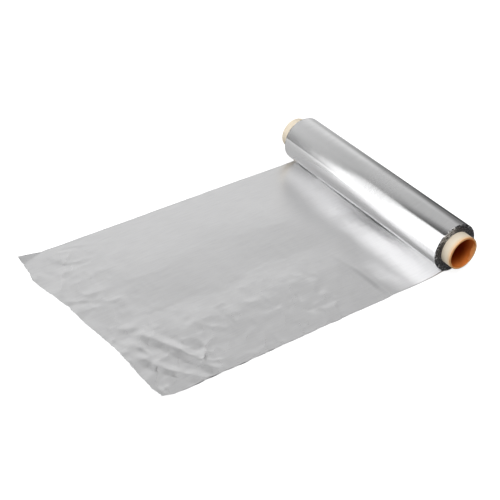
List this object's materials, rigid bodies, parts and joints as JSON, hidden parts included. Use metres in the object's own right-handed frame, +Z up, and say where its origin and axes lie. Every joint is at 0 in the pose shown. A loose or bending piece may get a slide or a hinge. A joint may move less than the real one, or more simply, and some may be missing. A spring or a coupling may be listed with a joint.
{
  "type": "aluminium foil roll",
  "caption": "Part-used kitchen foil roll on a board core that stands proud at both ends, with a torn, creased length unrolled flat from its bottom.",
  "frame": {"origin": "middle of the footprint, on the surface that the roll and its unrolled length lie on", "axes": "+Z up; the roll's axis lies along Y with its creased near end towards -Y; the web runs out from the roll towards -X"},
  "size_m": [0.4537, 0.3332, 0.0614],
  "materials": {
    "foil": "bright on the outside of the roll, matt on the unrolled side",
    "core_board": "plain brown board",
    "cover_paper": "matt cream paper"
  },
  "bodies": {
    "root": {"foil": "foil", "core_tube": "core_board", "core_cover_ply": "cover_paper"}
  },
  "joints": []
}
